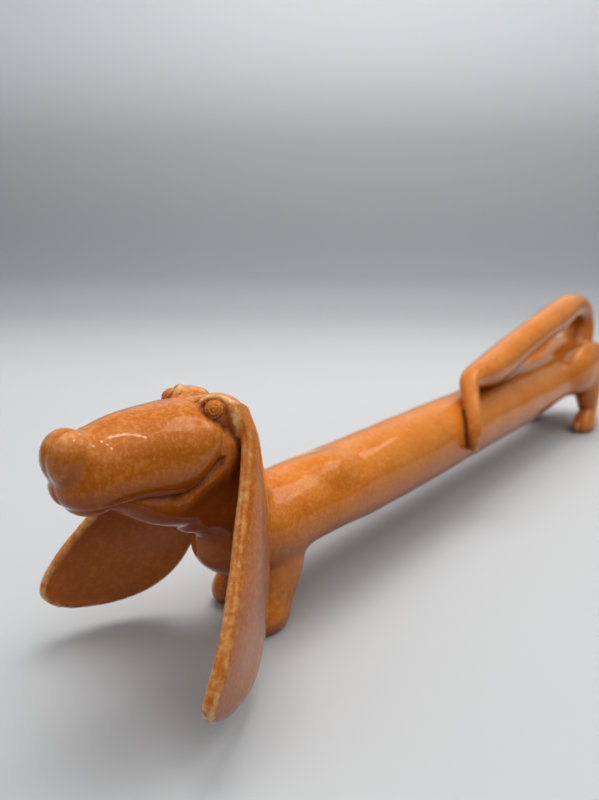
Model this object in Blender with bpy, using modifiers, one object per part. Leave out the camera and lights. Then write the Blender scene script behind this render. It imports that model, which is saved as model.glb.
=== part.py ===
"""Long glazed ceramic dachshund figurine, built from the separate clay pieces a potter would join.

The dog faces -Y, its left side is +X and it stands on the plane Z = 0. All sizes are metres.
The origin is the middle of the figurine's bounding box in X and Y, at floor level.
"""
import math

import bmesh
import bpy
from mathutils import Matrix, Vector

MM = 0.001

# Driving dimensions
BODY_RADIUS = 19.0 * MM
BODY_AXIS_HEIGHT = 38.0 * MM
BREAST_Y = -171.5 * MM
RUMP_Y = 226.0 * MM
BREAST_LENGTH = 34.0 * MM
RUMP_LENGTH = 21.0 * MM
WAIST_DEPTH = 0.5 * MM
WALL = 4.0 * MM
JOINT_GAP = 0.3 * MM
VENT_RADIUS = 2.5 * MM

NECK_Y = -160.0 * MM
NECK_RADIUS = 16.4 * MM
NECK_TAPER = 1.8 * MM
NECK_BASE_Z = 40.0 * MM
NECK_TOP_Z = 80.0 * MM
NECK_BORE_RADIUS = 9.5 * MM

NOSE_CENTRE = (0.0, -217.2, 86.0)
NOSE_RADIUS = 9.4 * MM
EYE_CENTRE = (10.6, -171.6, 91.6)
EYE_FACING = (0.62, -0.50, 0.60)
EYE_RADIUS = 4.0 * MM
EAR_THICKNESS = 4.6 * MM

# The forelegs were set by hand, so the two stand a little differently: sideways and fore-aft place
LEFT_FORELEG = (10.2, -149.0)
RIGHT_FORELEG = (-14.6, -146.0)
HIND_LEG_X = 20.0

TURNING_STEPS = 32
CAGE_SHRINK_12 = 0.955
CAGE_SHRINK_8 = 0.902

GLAZE_ORANGE = (0.78, 0.30, 0.055, 1.0)
GLAZE_PALE = (0.83, 0.47, 0.17, 1.0)
GLAZE_DEEP = (0.58, 0.18, 0.028, 1.0)
GLAZE_ROUGHNESS = 0.12


def clear_scene():
    for item in list(bpy.data.objects):
        bpy.data.objects.remove(item, do_unlink=True)


def new_collection(name):
    collection = bpy.data.collections.new(name)
    bpy.context.scene.collection.children.link(collection)
    return collection


clear_scene()
PARTS = new_collection("ceramic_dachshund")
CUTTERS = new_collection("cutters")


def point(x, y, z):
    """A point given in millimetres."""
    return Vector((x, y, z)) * MM


def glaze(name, colour):
    """Glossy glaze over fired clay."""
    material = bpy.data.materials.new(name)
    material.use_nodes = True
    shader = material.node_tree.nodes["Principled BSDF"]
    shader.inputs["Base Color"].default_value = colour
    shader.inputs["Roughness"].default_value = GLAZE_ROUGHNESS
    shader.inputs["Metallic"].default_value = 0.0
    return material


def add_object(name, data, colour=GLAZE_ORANGE):
    piece = bpy.data.objects.new(name, data)
    PARTS.objects.link(piece)
    data.materials.append(glaze(name + "_glaze", colour))
    return piece


def smooth(piece):
    """Smooth shading for a round piece."""
    for polygon in piece.data.polygons:
        polygon.use_smooth = True


def subdivide(piece, levels=1):
    modifier = piece.modifiers.new("subdivision", "SUBSURF")
    modifier.levels = levels
    modifier.render_levels = levels


def evaluated_mesh(piece):
    """The piece's mesh with its modifiers, in its own coordinates."""
    depsgraph = bpy.context.evaluated_depsgraph_get()
    return bpy.data.meshes.new_from_object(piece.evaluated_get(depsgraph))


def hide_cutter(cutter):
    cutter.hide_render = True
    cutter.display_type = "WIRE"
    return cutter


def add_cutter(name, mesh):
    cutter = bpy.data.objects.new(name, mesh)
    CUTTERS.objects.link(cutter)
    return hide_cutter(cutter)


def grown_cutter(piece, distance=JOINT_GAP):
    """A copy of the whole piece, pushed out by the joint gap, that shapes the pieces pressed onto it."""
    mesh = evaluated_mesh(piece)
    normals = [vertex.normal.copy() for vertex in mesh.vertices]
    for vertex, normal in zip(mesh.vertices, normals):
        vertex.co += normal * distance
    cutter = add_cutter(piece.name + "_grown", mesh)
    cutter.matrix_world = piece.matrix_world.copy()
    return cutter


def cut(piece, cutter):
    modifier = piece.modifiers.new("cut_" + cutter.name, "BOOLEAN")
    modifier.operation = "DIFFERENCE"
    modifier.object = cutter


def cylinder_cutter(name, radius, start, end, segments=24):
    """A plain round cutter between two points."""
    mesh = bpy.data.meshes.new(name)
    form = bmesh.new()
    length = (end - start).length
    bmesh.ops.create_cone(
        form, cap_ends=True, segments=segments, radius1=radius, radius2=radius, depth=length
    )
    form.to_mesh(mesh)
    form.free()
    cutter = add_cutter(name, mesh)
    turn = (end - start).to_track_quat("Z", "Y").to_matrix().to_4x4()
    cutter.matrix_world = Matrix.Translation((start + end) / 2) @ turn
    return cutter


def turned_form(name, profile, steps=TURNING_STEPS, colour=GLAZE_ORANGE):
    """A profile of (radius, height) pairs, top first, turned about the local Z axis."""
    mesh = bpy.data.meshes.new(name)
    edges = [(i, i + 1) for i in range(len(profile) - 1)]
    mesh.from_pydata([(radius, 0.0, height) for radius, height in profile], edges, [])
    piece = add_object(name, mesh, colour)
    screw = piece.modifiers.new("turning", "SCREW")
    screw.axis = "Z"
    screw.steps = steps
    screw.render_steps = steps
    screw.use_merge_vertices = True
    screw.merge_threshold = 0.00001
    screw.use_smooth_shade = True
    return piece


def cage(name, rings, count=12, levels=1, slabness=1.0):
    """A soft form: rings of (centre, across, up) joined into a coarse cage and subdivided.

    The centre is a point and the other two are half-widths as vectors. The cage is widened
    so that the subdivided surface has the half-widths asked for. A slabness under 1 keeps the
    thickness even almost to the edges, as in a slab of rolled clay.
    """
    shrink = CAGE_SHRINK_12 if count == 12 else CAGE_SHRINK_8
    form = bmesh.new()
    loops = []
    for centre, across, up in rings:
        loop = []
        for i in range(count):
            angle = 2 * math.pi * i / count
            rise = math.copysign(abs(math.sin(angle)) ** slabness, math.sin(angle))
            offset = (across * math.cos(angle) + up * rise) / shrink
            loop.append(form.verts.new(centre + offset))
        loops.append(loop)
    for first, second in zip(loops, loops[1:]):
        for i in range(count):
            j = (i + 1) % count
            form.faces.new((first[i], first[j], second[j], second[i]))
    form.faces.new(list(reversed(loops[0])))
    form.faces.new(loops[-1])
    bmesh.ops.recalc_face_normals(form, faces=form.faces[:])
    mesh = bpy.data.meshes.new(name)
    form.to_mesh(mesh)
    form.free()
    piece = add_object(name, mesh)
    smooth(piece)
    subdivide(piece, levels)
    return piece


def ring_along_y(y, middle, half_width, half_height, x=0.0):
    """An upright ring facing along Y, in millimetres."""
    return point(x, y, middle), Vector((half_width, 0, 0)) * MM, Vector((0, 0, half_height)) * MM


def ring_flat(x, y, z, half_width, half_length):
    """A level ring, in millimetres."""
    return point(x, y, z), Vector((half_width, 0, 0)) * MM, Vector((0, half_length, 0)) * MM


def clay_roll(name, path, radii, colour=GLAZE_ORANGE, sides=2, resolution=3):
    """A hand-rolled tapering coil of clay along a smooth path in millimetres."""
    curve = bpy.data.curves.new(name, "CURVE")
    curve.dimensions = "3D"
    curve.bevel_depth = 1.0 * MM
    curve.bevel_resolution = sides
    curve.resolution_u = resolution
    curve.use_fill_caps = True
    spline = curve.splines.new("NURBS")
    spline.points.add(len(path) - 1)
    spline.order_u = 3
    spline.use_endpoint_u = True
    for knot, place, radius in zip(spline.points, path, radii):
        knot.co = (*point(*place), 1.0)
        knot.radius = radius
    coil = bpy.data.objects.new(name + "_coil", curve)
    PARTS.objects.link(coil)
    mesh = evaluated_mesh(coil)
    bpy.data.objects.remove(coil, do_unlink=True)
    form = bmesh.new()
    form.from_mesh(mesh)
    bmesh.ops.remove_doubles(form, verts=form.verts[:], dist=0.00001)
    bmesh.ops.recalc_face_normals(form, faces=form.faces[:])
    form.to_mesh(mesh)
    form.free()
    mesh.materials.clear()
    piece = add_object(name, mesh, colour)
    smooth(piece)
    return piece


def mirrored_path(path, side):
    return [(side * x, y, z) for x, y, z in path]


# Hollow body


def body_profile():
    """Half outline of the body: long breast curve, slightly waisted tube and round rump."""
    steps = 5
    tube_start = BREAST_Y + BREAST_LENGTH
    tube_end = RUMP_Y - RUMP_LENGTH
    outline = []
    for i in range(steps + 1):
        angle = math.pi / 2 * i / steps
        outline.append((BODY_RADIUS * math.sin(angle), BREAST_LENGTH * math.cos(angle) - tube_start))
    middle_count = 4
    for i in range(1, middle_count):
        share = i / middle_count
        waist = WAIST_DEPTH * math.sin(math.pi * share)
        outline.append((BODY_RADIUS - waist, -tube_start - (tube_end - tube_start) * share))
    for i in range(steps + 1):
        angle = math.pi / 2 * (1 - i / steps)
        outline.append((BODY_RADIUS * math.sin(angle), -tube_end - RUMP_LENGTH * math.cos(angle)))
    return outline


def body_form(name):
    """Solid body on its level axis, with local +Z towards the head."""
    piece = turned_form(name, body_profile())
    piece.location = (0.0, 0.0, BODY_AXIS_HEIGHT)
    piece.rotation_euler = (math.pi / 2, 0.0, 0.0)
    bpy.context.view_layer.update()
    return piece


def make_body_shell():
    """Slip-cast hollow tube, open into the neck, with a vent hole under the belly."""
    body = body_form("body_shell")
    grown = grown_cutter(body)
    shell = body.modifiers.new("wall", "SOLIDIFY")
    shell.thickness = WALL
    shell.offset = -1.0
    neck_bore = cylinder_cutter(
        "neck_bore", NECK_BORE_RADIUS, point(0, NECK_Y / MM, 38), point(0, NECK_Y / MM, 80)
    )
    vent = cylinder_cutter("vent", VENT_RADIUS, point(0, 0, 10), point(0, 0, 38), 12)
    cut(body, neck_bore)
    cut(body, vent)
    return body, grown, neck_bore


# Head


def head_form(name, trim=0.0, levels=1):
    """Skull and upper muzzle. trim shrinks every ring, for the inside of the shell."""
    stations = (
        (-146.0, 78.0, 6.0, 6.5),
        (-150.0, 78.4, 10.6, 10.6),
        (-158.0, 79.2, 15.0, 14.8),
        (-170.0, 79.4, 17.0, 16.2),
        (-184.0, 80.6, 16.8, 16.0),
        (-198.0, 82.2, 15.4, 14.4),
        (-211.0, 82.6, 13.8, 13.0),
        (-219.5, 81.8, 10.6, 9.8),
        (-223.2, 80.8, 5.4, 5.0),
    )
    ends = (stations[0][0] - trim, stations[-1][0] + trim)
    rings = []
    for y, middle, half_width, half_height in stations:
        held = min(max(y, ends[1]), ends[0])
        wide = max(half_width - trim, 1.5)
        high = max(half_height - trim, 1.5)
        rings.append(ring_along_y(held, middle, wide, high))
    if trim:
        rings = rings[1:-1]
    return cage(name, rings, count=12, levels=levels)


def make_head(neck_bore):
    """Hollow skull and upper muzzle, open into the neck."""
    head = head_form("head_shell")
    grown = grown_cutter(head)
    cavity = head_form("head_cavity", trim=WALL / MM)
    PARTS.objects.unlink(cavity)
    CUTTERS.objects.link(hide_cutter(cavity))
    cut(head, cavity)
    cut(head, neck_bore)
    return head, grown


def make_neck(body_grown, head_grown):
    """Short hollow collar between body and skull, saddled onto both."""
    outer = NECK_RADIUS
    inner = NECK_BORE_RADIUS + 1.0 * MM
    height = NECK_TOP_Z - NECK_BASE_Z
    profile = (
        (outer - NECK_TAPER, height),
        (outer - NECK_TAPER / 2, height * 0.6),
        (outer, 0.0),
        (inner, 0.0),
        (inner, height),
        (outer - NECK_TAPER, height),
    )
    neck = turned_form("neck", profile, steps=28)
    neck.location = (0.0, NECK_Y, NECK_BASE_Z)
    bpy.context.view_layer.update()
    grown = add_cutter("neck_grown", solid_post(outer + JOINT_GAP, height))
    grown.location = neck.location
    cut(neck, body_grown)
    cut(neck, head_grown)
    return neck, grown


def solid_post(radius, height):
    mesh = bpy.data.meshes.new("neck_post")
    form = bmesh.new()
    lift = Matrix.Translation((0, 0, height / 2))
    bmesh.ops.create_cone(
        form,
        cap_ends=True,
        segments=28,
        radius1=radius,
        radius2=radius - NECK_TAPER,
        depth=height,
        matrix=lift,
    )
    form.to_mesh(mesh)
    form.free()
    return mesh


def make_jaw(head_grown, neck_grown):
    """Lower jaw tucked under the upper lip."""
    rings = (
        ring_along_y(-171.0, 61.0, 8.0, 6.5),
        ring_along_y(-178.0, 62.0, 12.4, 9.6),
        ring_along_y(-186.0, 65.6, 13.4, 9.6),
        ring_along_y(-196.0, 70.0, 12.8, 6.6),
        ring_along_y(-207.0, 72.2, 11.6, 5.8),
        ring_along_y(-215.5, 73.2, 8.8, 5.0),
        ring_along_y(-219.0, 73.4, 5.0, 3.0),
    )
    jaw = cage("lower_jaw", rings)
    grown = grown_cutter(jaw)
    cut(jaw, head_grown)
    cut(jaw, neck_grown)
    return jaw, grown


def make_nose(head_grown):
    """Rounded nose pad with a shallow groove that parts it into two lobes."""
    mesh = bpy.data.meshes.new("nose")
    form = bmesh.new()
    bmesh.ops.create_uvsphere(form, u_segments=20, v_segments=12, radius=NOSE_RADIUS)
    bmesh.ops.scale(form, vec=(1.06, 0.94, 1.04), verts=form.verts[:])
    form.to_mesh(mesh)
    form.free()
    nose = add_object("nose", mesh, GLAZE_PALE)
    nose.location = point(*NOSE_CENTRE)
    smooth(nose)
    bpy.context.view_layer.update()
    grown = grown_cutter(nose)
    bpy.ops.mesh.primitive_torus_add(
        major_radius=NOSE_RADIUS * 1.02,
        minor_radius=0.7 * MM,
        major_segments=28,
        minor_segments=6,
        location=nose.location,
        rotation=(0.0, math.pi / 2, 0.0),
    )
    groove = bpy.context.object
    groove.name = "nose_groove"
    for collection in list(groove.users_collection):
        collection.objects.unlink(groove)
    CUTTERS.objects.link(hide_cutter(groove))
    cut(nose, head_grown)
    cut(nose, groove)
    return nose, grown


# Face


def make_eye(side, head_grown):
    """Domed eye disc with an engraved ring round the pupil."""
    radius = EYE_RADIUS
    profile = (
        (0.0, 1.30 * MM),
        (radius * 0.34, 1.20 * MM),
        (radius * 0.46, 0.75 * MM),
        (radius * 0.58, 1.00 * MM),
        (radius * 0.82, 0.55 * MM),
        (radius, -0.60 * MM),
        (radius * 0.9, -2.4 * MM),
        (0.0, -2.4 * MM),
    )
    name = "eye_left" if side > 0 else "eye_right"
    eye = turned_form(name, profile, steps=18, colour=GLAZE_PALE)
    eye.location = point(side * EYE_CENTRE[0], EYE_CENTRE[1], EYE_CENTRE[2])
    facing = Vector((side * EYE_FACING[0], EYE_FACING[1], EYE_FACING[2]))
    eye.rotation_mode = "QUATERNION"
    eye.rotation_quaternion = facing.to_track_quat("Z", "Y")
    bpy.context.view_layer.update()
    grown = grown_cutter(eye)
    cut(eye, head_grown)
    return eye, grown


def make_eyelid(side, cutters):
    """Thin clay roll arched over the eye."""
    name = "eyelid_left" if side > 0 else "eyelid_right"
    path = (
        (5.4, -175.6, 94.6),
        (6.4, -171.4, 96.4),
        (9.2, -168.0, 96.0),
        (12.6, -166.6, 93.4),
        (15.2, -168.0, 89.2),
    )
    lid = clay_roll(name, mirrored_path(path, side), (1.3, 1.7, 1.9, 1.7, 1.2))
    grown = grown_cutter(lid)
    for cutter in cutters:
        cut(lid, cutter)
    return lid, grown


def make_brow(side, cutters):
    """Plump brow fold behind the eyelid, running down to the ear."""
    name = "brow_left" if side > 0 else "brow_right"
    path = (
        (3.8, -178.5, 95.0),
        (5.0, -171.8, 96.6),
        (7.0, -164.8, 96.2),
        (10.8, -161.4, 93.4),
        (13.8, -161.0, 89.6),
    )
    brow = clay_roll(name, mirrored_path(path, side), (1.8, 3.0, 3.4, 3.0, 2.0), GLAZE_PALE)
    grown = grown_cutter(brow)
    for cutter in cutters:
        cut(brow, cutter)
    return brow, grown


def make_forehead_fold(cutters):
    """Low wrinkle between the two brows."""
    path = ((0.0, -182.0, 95.6), (0.0, -174.0, 95.6), (0.0, -164.0, 94.8), (0.0, -156.0, 93.0))
    fold = clay_roll("forehead_fold", path, (1.4, 2.0, 2.2, 1.4))
    for cutter in cutters:
        cut(fold, cutter)
    return fold


def make_cheek_fold(side, cutters):
    """Rolled fold of skin behind the corner of the mouth."""
    name = "cheek_fold_left" if side > 0 else "cheek_fold_right"
    path = ((13.6, -187.0, 72.0), (15.6, -182.5, 75.0), (16.8, -178.6, 79.6), (16.4, -175.2, 85.0))
    fold = clay_roll(name, mirrored_path(path, side), (1.4, 2.2, 2.4, 1.4))
    for cutter in cutters:
        cut(fold, cutter)
    return fold


# Ears


def ear_stations():
    """Front edge and back edge points down the left ear, in millimetres, root first."""
    return (
        ((16.6, -169.2, 94.6), (15.4, -162.2, 92.6)),
        ((20.2, -169.4, 84.6), (17.0, -159.6, 82.0)),
        ((24.8, -174.2, 72.8), (18.4, -156.8, 70.0)),
        ((29.8, -181.4, 62.4), (19.8, -153.6, 58.0)),
        ((35.8, -189.0, 51.6), (20.4, -152.4, 46.0)),
        ((41.4, -197.4, 40.6), (21.4, -153.6, 34.0)),
        ((45.6, -205.8, 29.0), (25.8, -163.6, 19.2)),
        ((46.6, -209.6, 22.4), (34.6, -179.0, 11.0)),
        ((45.0, -207.6, 16.0), (40.0, -192.6, 9.6)),
    )


def make_ear(side, cutters):
    """Long flared slab of clay: a flat strip of sections with rounded rims, root to tip."""
    name = "ear_left" if side > 0 else "ear_right"
    outward = Vector((side * 0.86, 0.50, 0.0)).normalized()
    half_thickness = EAR_THICKNESS / 2
    rings = []
    for front, back in ear_stations():
        front_point = point(side * front[0], front[1], front[2])
        back_point = point(side * back[0], back[1], back[2])
        chord = (front_point - back_point) / 2
        facing = (outward - chord.normalized() * outward.dot(chord.normalized())).normalized()
        rings.append(((front_point + back_point) / 2, chord, facing * half_thickness))
    ear = cage(name, rings, count=12, slabness=0.6)
    grown = grown_cutter(ear)
    for cutter in cutters:
        cut(ear, cutter)
    return ear, grown


# Legs and tail


def make_floor_cutter():
    """Everything under the floor plane, so that the paws have flat soles."""
    mesh = bpy.data.meshes.new("floor")
    form = bmesh.new()
    bmesh.ops.create_cube(form, size=1.0)
    form.to_mesh(mesh)
    form.free()
    cutter = add_cutter("floor", mesh)
    cutter.location = (0.0, 0.0, -0.5)
    return cutter


def make_foreleg(side, cutters, floor):
    """Stubby foreleg with its paw turned forward."""
    name = "foreleg_left" if side > 0 else "foreleg_right"
    x, y = LEFT_FORELEG if side > 0 else RIGHT_FORELEG
    rings = (
        ring_flat(x * 0.86, y + 8.0, 34.0, 7.0, 11.0),
        ring_flat(x * 0.94, y + 7.6, 24.0, 7.2, 11.2),
        ring_flat(x * 0.98, y + 5.0, 15.0, 6.8, 10.4),
        ring_flat(x, y + 1.0, 8.0, 7.0, 11.4),
        ring_flat(x, y, 2.6, 7.2, 11.6),
        ring_flat(x, y, -2.0, 6.4, 10.6),
    )
    leg = cage(name, rings, count=8)
    cut(leg, floor)
    for cutter in cutters:
        cut(leg, cutter)
    return leg


def make_haunch(side, body_grown):
    """Rounded thigh pressed onto the side of the rump."""
    name = "haunch_left" if side > 0 else "haunch_right"
    rings = (
        ring_along_y(150.0, 38.0, 2.5, 5.0, side * 16.5),
        ring_along_y(160.0, 39.5, 6.4, 13.0, side * 16.4),
        ring_along_y(180.0, 42.0, 9.4, 19.6, side * 15.8),
        ring_along_y(200.0, 43.6, 9.8, 21.0, side * 15.2),
        ring_along_y(214.0, 43.6, 7.0, 16.0, side * 13.6),
        ring_along_y(222.0, 43.0, 2.8, 8.0, side * 11.8),
    )
    haunch = cage(name, rings, count=8)
    grown = grown_cutter(haunch)
    cut(haunch, body_grown)
    return haunch, grown


def make_hind_leg(side, cutters, floor):
    """Lower hind leg slanting forward from the haunch to its paw."""
    name = "hind_leg_left" if side > 0 else "hind_leg_right"
    x = side * HIND_LEG_X
    rings = (
        ring_flat(x * 0.92, 197.0, 32.0, 7.4, 11.0),
        ring_flat(x, 195.0, 21.0, 6.8, 9.4),
        ring_flat(x * 1.04, 189.6, 13.0, 6.6, 8.6),
        ring_flat(x * 1.08, 183.0, 7.0, 7.2, 12.0),
        ring_flat(x * 1.08, 180.6, 2.4, 7.4, 13.6),
        ring_flat(x * 1.08, 181.0, -2.0, 6.6, 12.6),
    )
    leg = cage(name, rings, count=8)
    cut(leg, floor)
    for cutter in cutters:
        cut(leg, cutter)
    return leg


def make_tail(cutters):
    """Long coil that rises from the rump, arches, runs forward and drapes down the left flank."""
    path = (
        (0.0, 203.0, 44.0),
        (0.0, 213.0, 62.0),
        (0.0, 212.6, 77.0),
        (0.0, 201.0, 87.6),
        (0.0, 183.0, 89.2),
        (0.4, 160.0, 86.4),
        (1.2, 120.0, 80.0),
        (2.6, 80.0, 74.0),
        (4.6, 45.0, 69.8),
        (7.4, 22.0, 66.6),
        (12.6, 11.0, 61.0),
        (19.6, 8.0, 51.6),
        (22.2, 6.4, 42.0),
        (21.4, 5.0, 34.6),
    )
    radii = (14.0, 12.4, 10.4, 9.2, 8.8, 8.8, 8.6, 7.8, 6.8, 5.8, 5.0, 4.2, 3.6, 2.4)
    tail = clay_roll("tail", path, radii, sides=3, resolution=3)
    for cutter in cutters:
        cut(tail, cutter)
    return tail


def build():
    _, body_grown, neck_bore = make_body_shell()
    _, head_grown = make_head(neck_bore)
    _, neck_grown = make_neck(body_grown, head_grown)
    _, jaw_grown = make_jaw(head_grown, neck_grown)
    make_nose(head_grown)
    floor = make_floor_cutter()
    brows = []
    haunches = []
    for side in (1, -1):
        _, eye_grown = make_eye(side, head_grown)
        _, lid_grown = make_eyelid(side, (head_grown, eye_grown))
        _, brow_grown = make_brow(side, (head_grown, eye_grown, lid_grown))
        brows += [lid_grown, brow_grown]
        on_head = (head_grown, neck_grown, body_grown, lid_grown, brow_grown)
        _, ear_grown = make_ear(side, on_head)
        make_cheek_fold(side, (head_grown, jaw_grown, neck_grown, ear_grown))
        make_foreleg(side, (body_grown, neck_grown), floor)
        _, haunch_grown = make_haunch(side, body_grown)
        make_hind_leg(side, (body_grown, haunch_grown), floor)
        haunches.append(haunch_grown)
    make_forehead_fold([head_grown] + brows)
    make_tail([body_grown] + haunches)


build()
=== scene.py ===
"""Looks for the glazed ceramic dachshund: its fine surface, its glaze and the studio round it.

The fine surface is one continuous clay form, described in millimetres as a distance field. Every part of
it stands where its CAD node stands, and neighbouring parts are blended with a fillet of their own. The
surface of the field is then meshed and shared out again, so that each CAD node gets a closed mesh.
"""

import math
from concurrent.futures import ThreadPoolExecutor

import bpy
import numpy as np
from mathutils import Matrix, Vector


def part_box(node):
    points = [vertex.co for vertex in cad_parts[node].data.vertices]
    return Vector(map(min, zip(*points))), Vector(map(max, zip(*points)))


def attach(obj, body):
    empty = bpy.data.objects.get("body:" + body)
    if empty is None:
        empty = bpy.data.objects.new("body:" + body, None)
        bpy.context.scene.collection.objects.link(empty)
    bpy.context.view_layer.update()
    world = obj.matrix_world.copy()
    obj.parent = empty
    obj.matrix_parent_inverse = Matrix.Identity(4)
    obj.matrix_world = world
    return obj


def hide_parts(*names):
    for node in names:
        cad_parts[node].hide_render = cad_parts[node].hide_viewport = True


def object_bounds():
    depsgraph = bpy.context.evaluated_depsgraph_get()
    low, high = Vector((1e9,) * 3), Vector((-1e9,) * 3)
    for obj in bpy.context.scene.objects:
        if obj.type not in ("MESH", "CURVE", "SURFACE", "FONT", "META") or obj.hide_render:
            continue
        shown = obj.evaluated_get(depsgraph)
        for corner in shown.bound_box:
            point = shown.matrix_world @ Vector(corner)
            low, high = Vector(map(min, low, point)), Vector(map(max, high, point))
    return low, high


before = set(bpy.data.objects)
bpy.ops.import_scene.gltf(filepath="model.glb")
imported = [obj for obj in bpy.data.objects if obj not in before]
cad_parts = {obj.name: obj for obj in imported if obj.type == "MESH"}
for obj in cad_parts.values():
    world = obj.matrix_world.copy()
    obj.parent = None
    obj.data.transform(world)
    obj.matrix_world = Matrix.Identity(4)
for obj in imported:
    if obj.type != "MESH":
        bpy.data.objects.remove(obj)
CAD_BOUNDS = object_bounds()

MM = 1000.0
FAR = 30.0  # a distance that no blend reaches
REACH = 11.0  # a part is worked out this far outside its box
THREADS = 4
CHUNK = 12000

# Grid steps of the mesh, in millimetres, and how many steps make a block.
STEP = 0.62
LONG_STEP = 1.1
BLOCK = 4


# ---------------------------------------- places taken from the frame


def node_box(node):
    """Lowest and highest corner of a CAD node, in millimetres."""
    low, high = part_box(node)
    return np.array(low) * MM, np.array(high) * MM


def middle(node):
    low, high = node_box(node)
    return (low + high) / 2


def footprint(node):
    """The point on the floor under the middle of a leg's paw side."""
    low, high = node_box(node)
    return np.array([(low[0] + high[0]) / 2, (low[1] + high[1]) / 2, low[2]])


def around(anchor, rows):
    """Rows of x, y, z, given from an anchor. Numbers after the third are kept as they are."""
    placed = np.array(rows, float)
    placed[..., :3] += anchor
    return placed


HEAD = middle("head_shell")
LEFT_EAR = middle("ear_left")
TAIL = middle("tail")
BODY = middle("body_shell")
BODY_LOW, BODY_HIGH = node_box("body_shell")
BODY_RADIUS = (BODY_HIGH[2] - BODY_LOW[2]) / 2
NOSE = middle("nose")


# ---------------------------------------- distance fields


def blend(a, b, width):
    """Union of two fields with a fillet about as wide as width."""
    share = np.clip(0.5 + 0.5 * (b - a) / width, 0, 1)
    return b + (a - b) * share - width * share * (1 - share)


def trim(a, b, width):
    """What two fields have in common, with a rounded edge."""
    return -blend(-a, -b, width)


def length(v):
    return np.sqrt(np.einsum("ij,ij->i", v, v))


class Curve:
    """A smooth curve through rows of numbers, one unit of t from each row to the next."""

    def __init__(self, rows):
        self.rows = np.array(rows, np.float32)
        count = len(self.rows)
        system = np.eye(count)
        load = np.zeros(self.rows.shape)
        for i in range(1, count - 1):
            system[i, i - 1 : i + 2] = 1, 4, 1
            load[i] = 6 * (self.rows[i - 1] - 2 * self.rows[i] + self.rows[i + 1])
        self.bends = np.linalg.solve(system, load).astype(np.float32)
        self.last = count - 1

    def at(self, t):
        """Values and slopes at each t."""
        i = np.clip(t.astype(np.int32), 0, self.last - 1)
        u = (t - i)[:, None]
        v = 1 - u
        a, b = self.rows[i], self.rows[i + 1]
        m, n = self.bends[i], self.bends[i + 1]
        values = a * v + b * u + ((v**3 - v) * m + (u**3 - u) * n) / 6
        slopes = b - a + ((1 - 3 * v * v) * m + (3 * u * u - 1) * n) / 6
        return values, slopes


class Roll:
    """A roll of clay along a curve of x, y, z and radius. Squash flattens its section along an axis."""

    SAMPLES_PER_SPAN = 5

    def __init__(self, rows, squash=(1, 1, 1)):
        rows = np.array(rows, np.float32)
        self.squash = np.array(squash, np.float32)
        reach = rows[:, 3:4] * self.squash
        self.low = (rows[:, :3] - reach).min(0) - REACH
        self.high = (rows[:, :3] + reach).max(0) + REACH
        rows[:, :3] /= self.squash
        self.curve = Curve(rows)
        count = self.curve.last * self.SAMPLES_PER_SPAN + 1
        self.ts = np.linspace(0, self.curve.last, count).astype(np.float32)
        self.samples = self.curve.at(self.ts)[0][:, :3]
        self.sample_squares = (self.samples**2).sum(1)

    def __call__(self, p):
        q = p / self.squash
        gaps = self.sample_squares - 2 * (q @ self.samples.T)
        t = self.ts[np.argmin(gaps, axis=1)]
        for _ in range(3):
            values, slopes = self.curve.at(t)
            along = np.einsum("ij,ij->i", q - values[:, :3], slopes[:, :3])
            t = t + along / np.maximum(np.einsum("ij,ij->i", slopes[:, :3], slopes[:, :3]), 1e-3)
            t = np.clip(t, 0, self.curve.last).astype(np.float32)
        values, _ = self.curve.at(t)
        return (length(q - values[:, :3]) - values[:, 3]) * self.squash.min()


class Ball:
    """An ellipsoid."""

    def __init__(self, centre, radii):
        self.centre = np.array(centre, np.float32)
        self.radii = np.array(radii, np.float32)
        self.low = self.centre - self.radii - REACH
        self.high = self.centre + self.radii + REACH

    def __call__(self, p):
        q = p - self.centre
        inner = length(q / self.radii)
        outer = length(q / self.radii**2)
        return inner * (inner - 1) / np.maximum(outer, 1e-6)


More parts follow.
